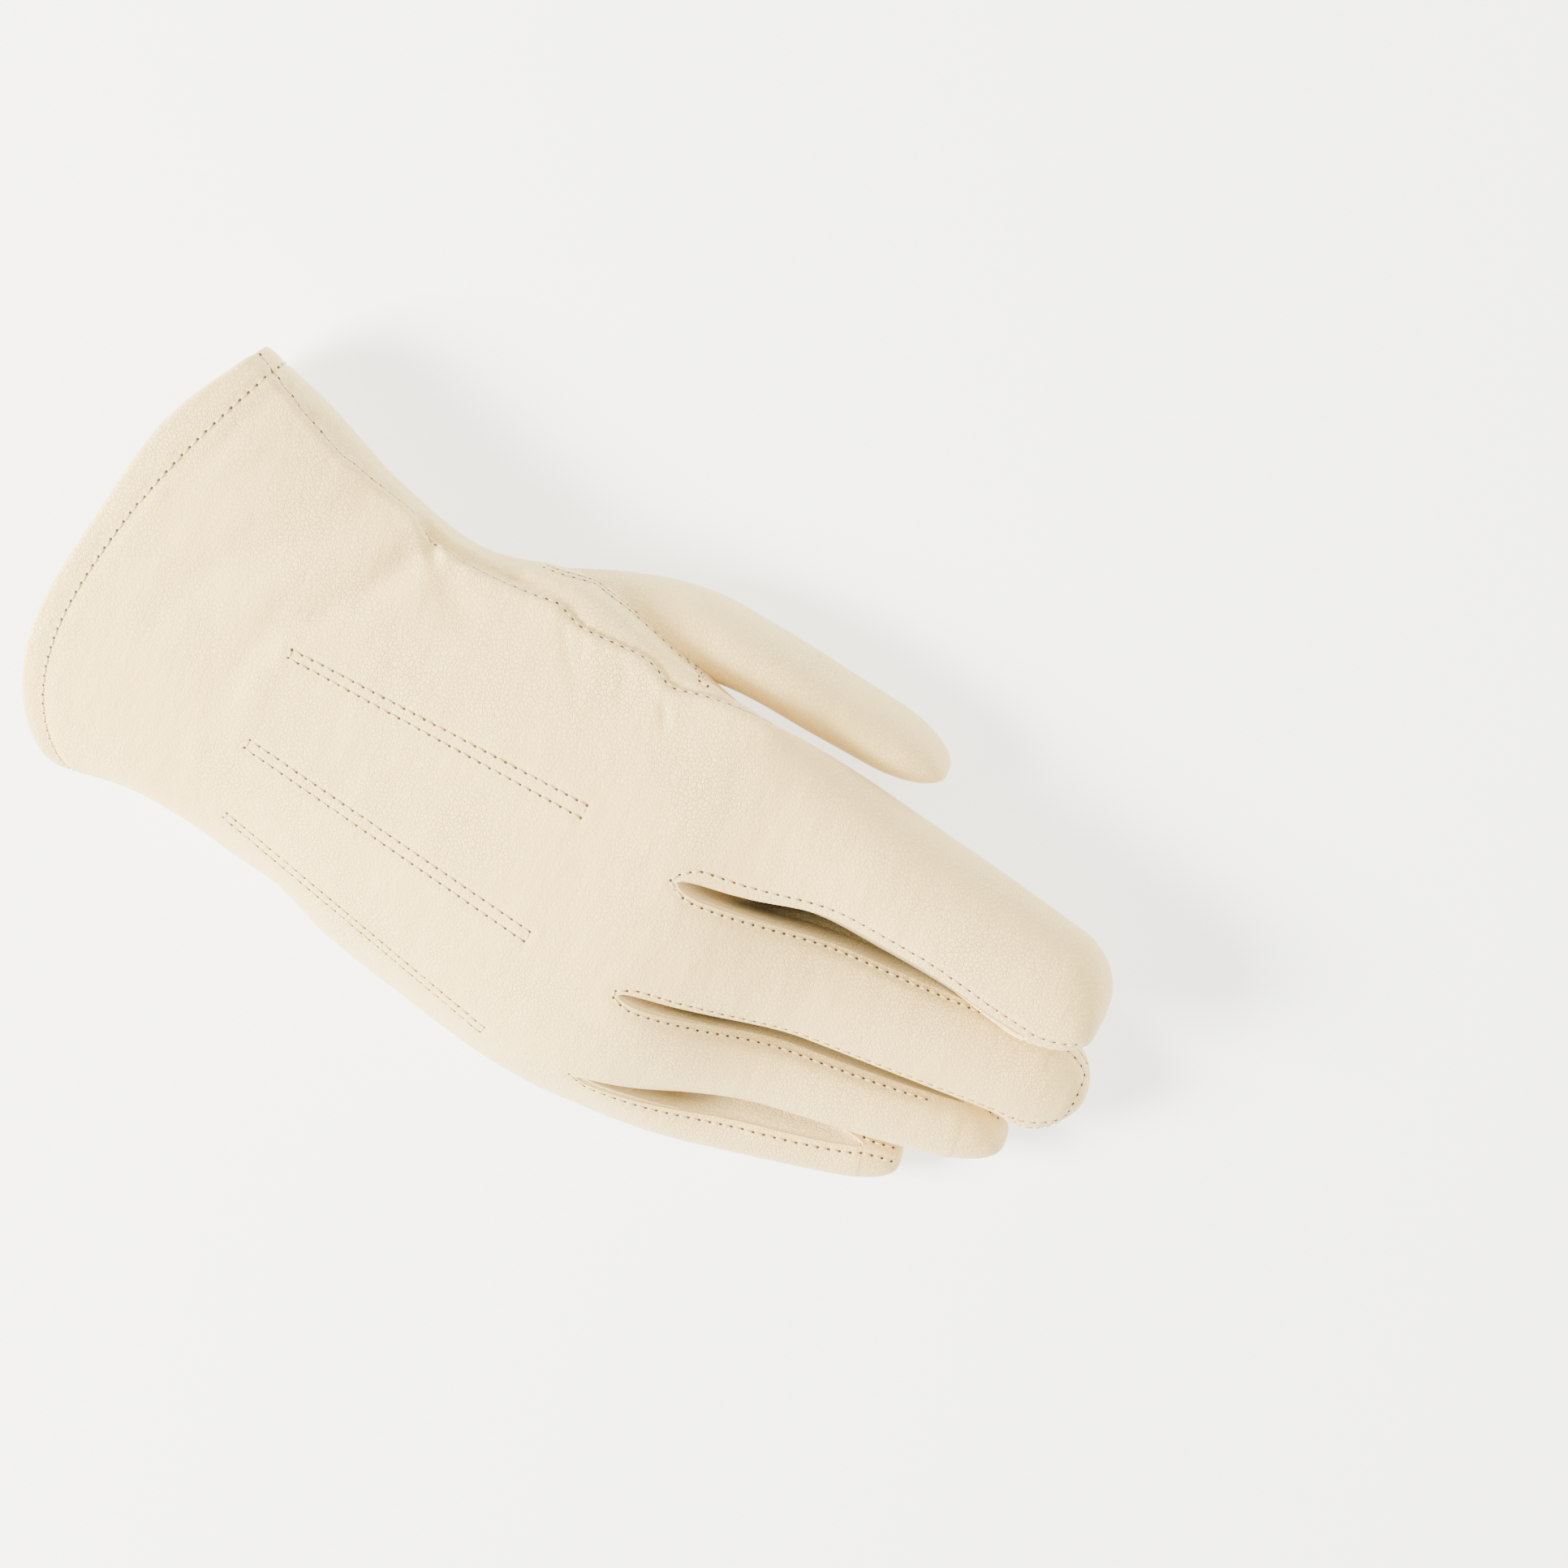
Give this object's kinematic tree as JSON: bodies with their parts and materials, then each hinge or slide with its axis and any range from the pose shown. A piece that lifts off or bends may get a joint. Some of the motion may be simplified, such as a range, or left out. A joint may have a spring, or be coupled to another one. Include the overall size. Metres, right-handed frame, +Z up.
{
  "type": "leather glove",
  "caption": "Right-hand dress glove of soft cream leather, lying palm down with the fingers together, open at the cuff and hollow for a hand.",
  "frame": {"origin": "middle of the bounding box's footprint, on the surface the glove lies on", "axes": "+X from the cuff to the fingertips, +Y towards the thumb, +Z up from the palm to the back of the hand"},
  "size_m": [0.2654, 0.1368, 0.0385],
  "materials": {
    "leather": "smooth glove leather, soft sheen, fine grain",
    "fourchette_leather": "the same leather, a shade darker in the fold between the fingers"
  },
  "bodies": {
    "root": {"trank": "leather", "thumb": "leather", "fourchette_index_middle": "fourchette_leather", "fourchette_middle_ring": "fourchette_leather", "fourchette_ring_little": "fourchette_leather"}
  },
  "joints": []
}
